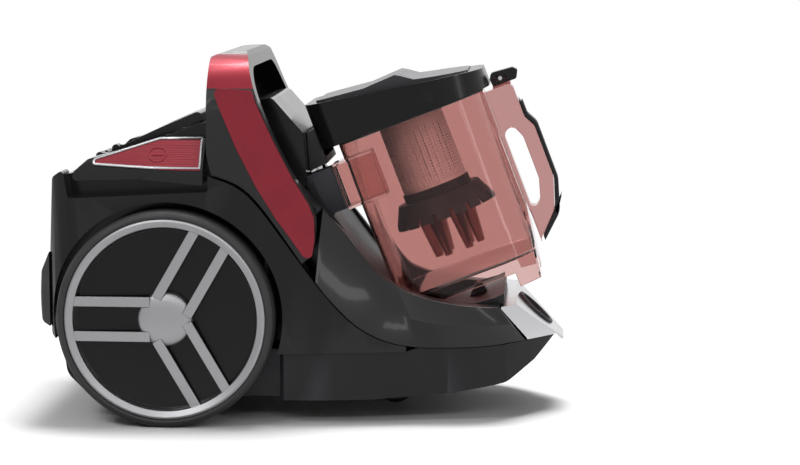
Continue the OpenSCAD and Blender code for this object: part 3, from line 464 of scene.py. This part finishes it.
for i in range(HOLES_ROUND):
    for j in range(HOLES_UP):
        mid_u, mid_v = (i + 0.5) * pitch_round, (j + 0.5) * pitch_up
        edge, hole = [], []
        for k in range(CORNERS):
            c, d = math.cos(k * math.pi / 4), math.sin(k * math.pi / 4)
            far = max(abs(c), abs(d))
            edge.append(on_screen(mid_u + c / far * pitch_round / 2, mid_v + d / far * pitch_up / 2))
            hole.append(on_screen(mid_u + c * HOLE_R, mid_v + d * HOLE_R))
        for k in range(CORNERS):
            after = (k + 1) % CORNERS
            build.faces.new((edge[k], edge[after], hole[after], hole[k]))
bmesh.ops.remove_doubles(build, verts=build.verts, dist=0.00001)
bmesh.ops.recalc_face_normals(build, faces=build.faces)
screen = new_piece("perforated_screen", build, "lid", screen_steel, smooth=True)
sheet = screen.modifiers.new("sheet", "SOLIDIFY")
sheet.thickness = SHEET_MM * MM
print("screen holes", HOLES_ROUND * HOLES_UP)

# %% [markdown]
# Each pedal's red plate sits in a thin silver frame, and carries a raised ring with a bar, a sign of
# the general kind used for on and off. Typed-in places would miss the plate if the CAD changed, so
# both follow the plate: its widest face that looks upward gives the plane, the frame is that face's
# border, inset and raised, and the sign stands on its middle.

# %% The plate's plane
PLATE_MATCH = 0.995     # how well a face must agree with the plane


def plate_normal(node):
    """Normal of the upward-looking plane that holds most of a plate's area."""
    area = {}
    for face in node.data.polygons:
        if abs(face.normal.x) > 0.5:
            continue
        key = tuple(round(v, 2) for v in face.normal)
        area[key] = area.get(key, 0) + face.area
    return Vector(max((k for k in area if k[2] > 0.05), key=lambda k: area[k])).normalized()


# %% Pedal frame
FRAME_WIDTH, FRAME_RISE = 2.6, 0.55     # mm


def pedal_frame(node_name, body, normal):
    """Adds the silver frame, and returns the middle of the plate's face."""
    build = bmesh.new()
    build.from_mesh(nodes[node_name].data)
    bmesh.ops.remove_doubles(build, verts=build.verts, dist=WELD_REACH)
    away = [f for f in build.faces if f.normal.dot(normal) < PLATE_MATCH]
    bmesh.ops.delete(build, geom=away, context="FACES")
    middle = sum((f.calc_center_median() * f.calc_area() for f in build.faces), Vector()) / sum(
        f.calc_area() for f in build.faces)
    inset = bmesh.ops.inset_region(build, faces=build.faces[:], thickness=FRAME_WIDTH * MM,
                                   use_boundary=True)
    rim = set(inset["faces"])
    bmesh.ops.delete(build, geom=[f for f in build.faces if f not in rim], context="FACES")
    raised = bmesh.ops.extrude_face_region(build, geom=build.faces[:])
    bmesh.ops.translate(build, vec=normal * FRAME_RISE * MM,
                        verts=[v for v in raised["geom"] if isinstance(v, bmesh.types.BMVert)])
    bmesh.ops.recalc_face_normals(build, faces=build.faces)
    new_piece(node_name + "_frame", build, body, wheel_silver, smooth=False)
    return middle


# %% Pedal sign
RING_R, RING_WIDTH, SIGN_RISE = 8.5, 0.9, 0.5       # mm
BAR_HALF_LENGTH, BAR_HALF_WIDTH = 5.2, 0.55         # mm
RING_STEPS = 48
BOX_FACES = ((3, 2, 1, 0), (4, 5, 6, 7), (0, 1, 5, 4), (1, 2, 6, 5), (2, 3, 7, 6), (3, 0, 4, 7))


def pedal_sign(node_name, body, normal, middle):
    """Adds the raised ring, with sloping flanks, and the bar inside it."""
    along = Vector((1, 0, 0)) - normal * normal.x
    along.normalize()
    across = normal.cross(along)
    section = ((-RING_WIDTH / 2, 0), (-RING_WIDTH / 4, SIGN_RISE), (RING_WIDTH / 4, SIGN_RISE),
               (RING_WIDTH / 2, 0))
    build = bmesh.new()
    loops = []
    for k in range(RING_STEPS):
        angle = 2 * math.pi * k / RING_STEPS
        out = along * math.cos(angle) + across * math.sin(angle)
        loops.append([build.verts.new(middle + out * (RING_R + w) * MM + normal * h * MM)
                      for w, h in section])
    for k, here in enumerate(loops):
        after = loops[(k + 1) % RING_STEPS]
        for m in range(4):
            build.faces.new((here[m], after[m], after[(m + 1) % 4], here[(m + 1) % 4]))
    bar = [(sx * BAR_HALF_LENGTH, sy * BAR_HALF_WIDTH, h) for h in (0, SIGN_RISE)
           for sx, sy in ((-1, -1), (1, -1), (1, 1), (-1, 1))]
    corners = [build.verts.new(middle + (along * x + across * y + normal * h) * MM) for x, y, h in bar]
    for quad in BOX_FACES:
        build.faces.new([corners[q] for q in quad])
    bmesh.ops.recalc_face_normals(build, faces=build.faces)
    new_piece(node_name + "_sign", build, body, strip_red, smooth=False)


for body in ("power_pedal", "rewind_pedal"):
    normal = plate_normal(nodes[body + "_face"])
    middle = pedal_frame(body + "_face", body, normal)
    pedal_sign(body + "_face", body, normal, middle)
    print(body, "plate looks", tuple(round(v, 2) for v in normal), "at", tuple(round(v, 3) for v in middle))

# %% [markdown]
# The machine stands on a pale floor. Lit evenly to the horizon it would need far more light than the
# machine does, so the paint takes the lamps and the shadow near by, and fades further out to a plain
# white glow, seen by camera, mirror and clear plastic alike.

# %% Floor
FADE_FROM, FADE_TO = 0.38, 1.0      # m from the middle
FLOOR_HALF = 40                     # m


def floor_paint(name, colour):
    """Paint that takes the shadow near the machine and fades to plain white further out."""
    made, tree, shader, place = start(name, colour, 0.7, Specular_IOR_Level=0.1)
    noise = add(tree, "TexNoise", inputs={"Scale": 3.0}, links={"Vector": place})
    relief(tree, shader, noise.outputs["Fac"], 0.02, 1)
    reach = add(tree, "VectorMath", {"operation": "LENGTH"}, links={0: place})
    far = add(tree, "MapRange", {"interpolation_type": "SMOOTHSTEP"},
              {"From Min": FADE_FROM, "From Max": FADE_TO}, {"Value": reach.outputs["Value"]})
    rays = add(tree, "LightPath")
    either = add(tree, "Math", {"operation": "MAXIMUM"}, links={0: rays.outputs["Is Camera Ray"],
                                                                1: rays.outputs["Is Transmission Ray"]})
    any_ray = add(tree, "Math", {"operation": "MAXIMUM"}, links={0: either.outputs[0],
                                                                 1: rays.outputs["Is Glossy Ray"]})
    share = add(tree, "Math", {"operation": "MULTIPLY"},
                links={0: far.outputs["Result"], 1: any_ray.outputs[0]})
    glow = add(tree, "Emission", inputs={"Color": (1, 1, 1, 1), "Strength": 1.0})
    mixed = add(tree, "MixShader", links={0: share.outputs[0], 1: shader.outputs[0], 2: glow.outputs[0]})
    tree.links.new(mixed.outputs[0], tree.nodes["Material Output"].inputs["Surface"])
    return made


floor_mesh = bpy.data.meshes.new("floor")
floor_corners = [(x * FLOOR_HALF, y * FLOOR_HALF, 0) for x, y in ((-1, -1), (1, -1), (1, 1), (-1, 1))]
floor_mesh.from_pydata(floor_corners, [], [(0, 1, 2, 3)])
floor = bpy.data.objects.new("floor", floor_mesh)
floor.data.materials.append(floor_paint("floor paint pale", "#F2F2F2"))
bpy.context.scene.collection.objects.link(floor)
print("floor", 2 * FLOOR_HALF, "m wide")

# %% [markdown]
# The room is white where it is seen, but gives little light of its own: bright walls would fill the
# shadow under the machine. Light Path tells the two apart.

# %% Room
ROOM_FILL = 0.08        # the room's own light, where 1 is white
world = bpy.data.worlds.new("room")
bpy.context.scene.world = world
world.use_nodes = True
room = world.node_tree
rays = add(room, "LightPath")
seen = add(room, "Math", {"operation": "MAXIMUM"}, links={0: rays.outputs["Is Camera Ray"],
                                                          1: rays.outputs["Is Transmission Ray"]})
all_seen = add(room, "Math", {"operation": "MAXIMUM"},
               links={0: seen.outputs[0], 1: rays.outputs["Is Glossy Ray"]})
level = add(room, "MapRange", inputs={"To Min": ROOM_FILL, "To Max": 1.0},
            links={"Value": all_seen.outputs[0]})
room.nodes["Background"].inputs["Color"].default_value = (1, 1, 1, 1)
room.links.new(level.outputs["Result"], room.nodes["Background"].inputs["Strength"])
print("room fill", ROOM_FILL)

# %% [markdown]
# Gloss shows its lamps, so their shapes matter. Point lamps would leave hard dots, so each is a
# rectangle: a wide one overhead makes the shadow, and a long thin strip draws a line along the flank.

# %% Lamps
LAMP_AIM = (0, 0, 0.18)


def softbox(name, place, size, watts):
    """A rectangular lamp that looks at the machine's middle; size in metres."""
    data = bpy.data.lights.new(name, "AREA")
    data.shape = "RECTANGLE"
    data.size, data.size_y = size
    data.energy = watts
    lamp = bpy.data.objects.new(name, data)
    lamp.location = place
    lamp.rotation_euler = (Vector(place) - Vector(LAMP_AIM)).to_track_quat("Z", "Y").to_euler()
    bpy.context.scene.collection.objects.link(lamp)


softbox("key", (-1.2, -1.6, 2.0), (1.2, 0.45), 17)
softbox("top", (0.2, 0.3, 2.4), (1.3, 0.8), 76)
softbox("front", (1.9, -1.4, 1.1), (0.3, 1.1), 6)
softbox("back", (-0.6, 2.0, 1.4), (2.0, 0.8), 10)
softbox("strip", (0.1, -2.2, 1.35), (2.2, 0.22), 9)
print("lamps:", len(bpy.data.lights))
